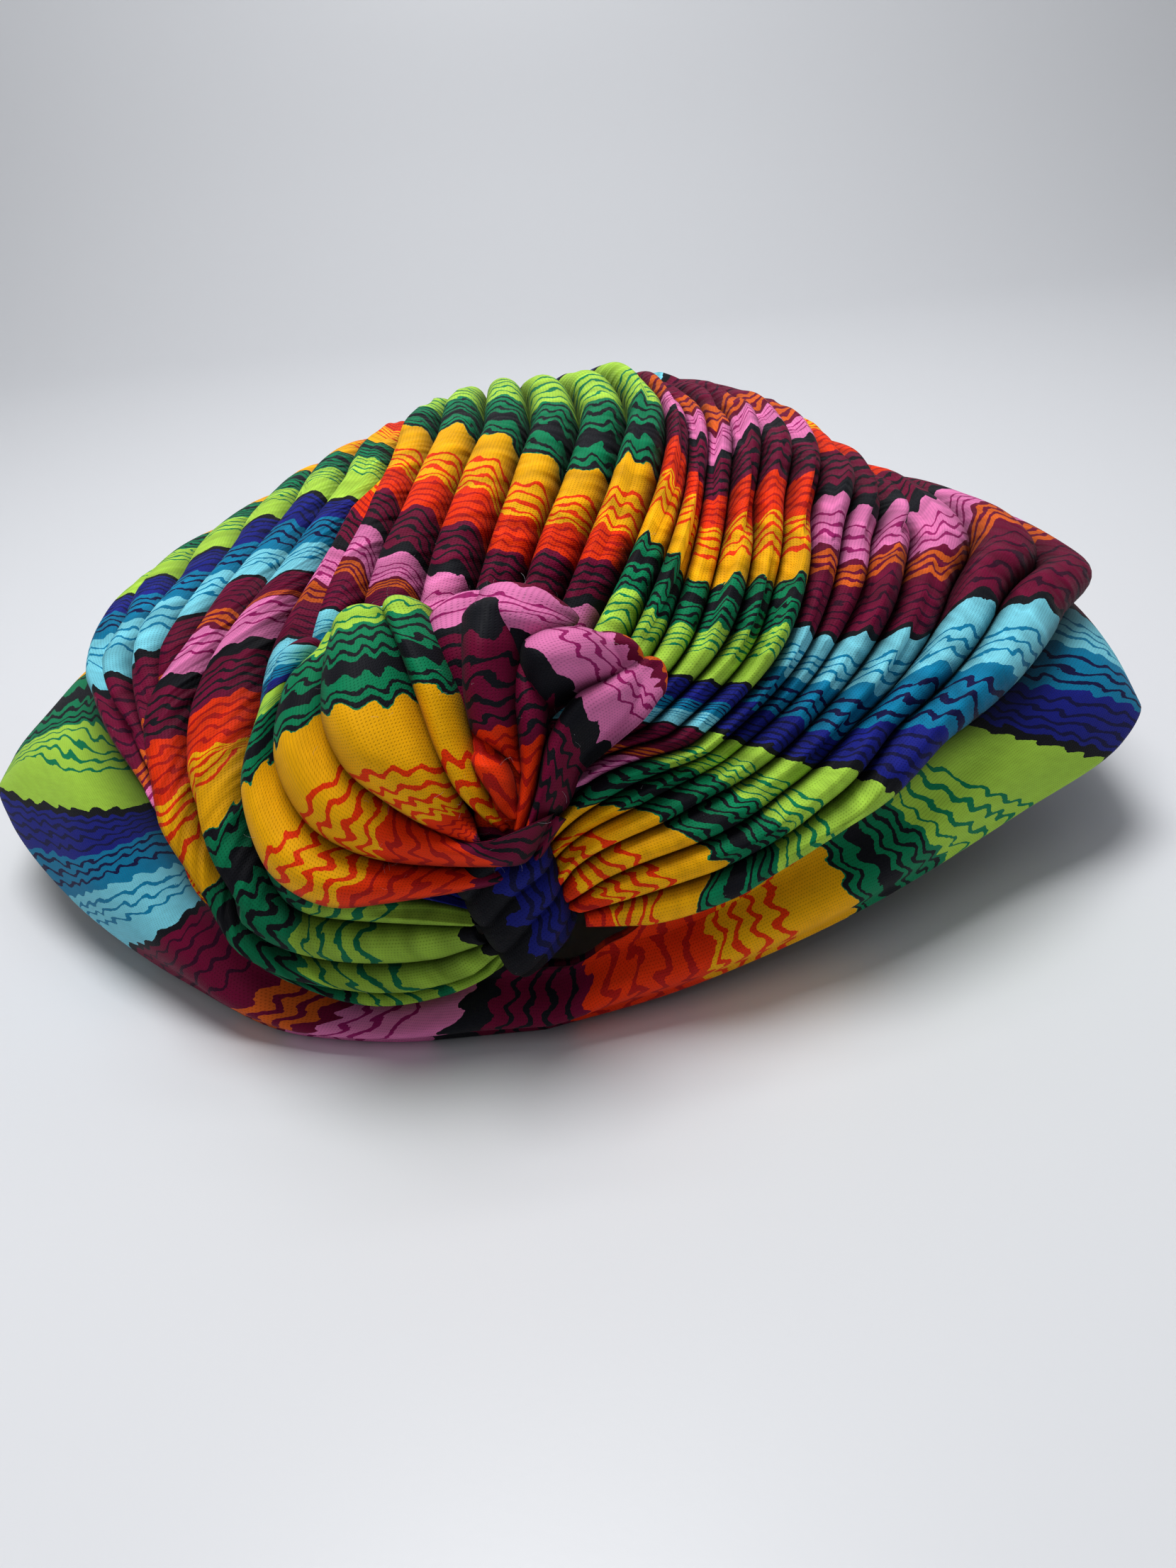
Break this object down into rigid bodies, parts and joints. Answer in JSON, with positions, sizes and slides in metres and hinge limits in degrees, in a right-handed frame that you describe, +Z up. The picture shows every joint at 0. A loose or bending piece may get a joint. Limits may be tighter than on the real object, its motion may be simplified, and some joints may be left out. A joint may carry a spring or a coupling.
{
  "type": "turban",
  "caption": "Pre-tied jersey turban with a pleated crown, a knotted front rosette of rolled folds, a pinched waist below it and a wide rolled hem round a hollow for the head.",
  "frame": {"origin": "on the surface it lies on, under the middle of the whole turban", "axes": "+Z up, -Y towards the knot at the front, +X to the right seen from the front"},
  "size_m": [0.269, 0.2214, 0.1012],
  "materials": {
    "striped_jersey": "printed knit jersey with wavy serape stripes",
    "waist_jersey": "the same jersey, navy and black where it is pinched",
    "knot_jersey": "the same jersey, rolled double into the knot"
  },
  "bodies": {
    "root": {"hem_band": "striped_jersey", "lower_right_pleats": "striped_jersey", "upper_right_pleats": "striped_jersey", "crown_pleats": "striped_jersey", "left_pleats": "striped_jersey", "waist_wrap": "waist_jersey", "rose_fold_1": "knot_jersey", "rose_fold_2": "knot_jersey", "rose_fold_3": "knot_jersey", "rose_fold_4": "knot_jersey", "rose_fold_5": "knot_jersey", "rose_fold_6": "knot_jersey", "rose_fold_7": "knot_jersey", "rose_fold_8": "knot_jersey", "rose_fold_9": "knot_jersey"}
  },
  "joints": []
}
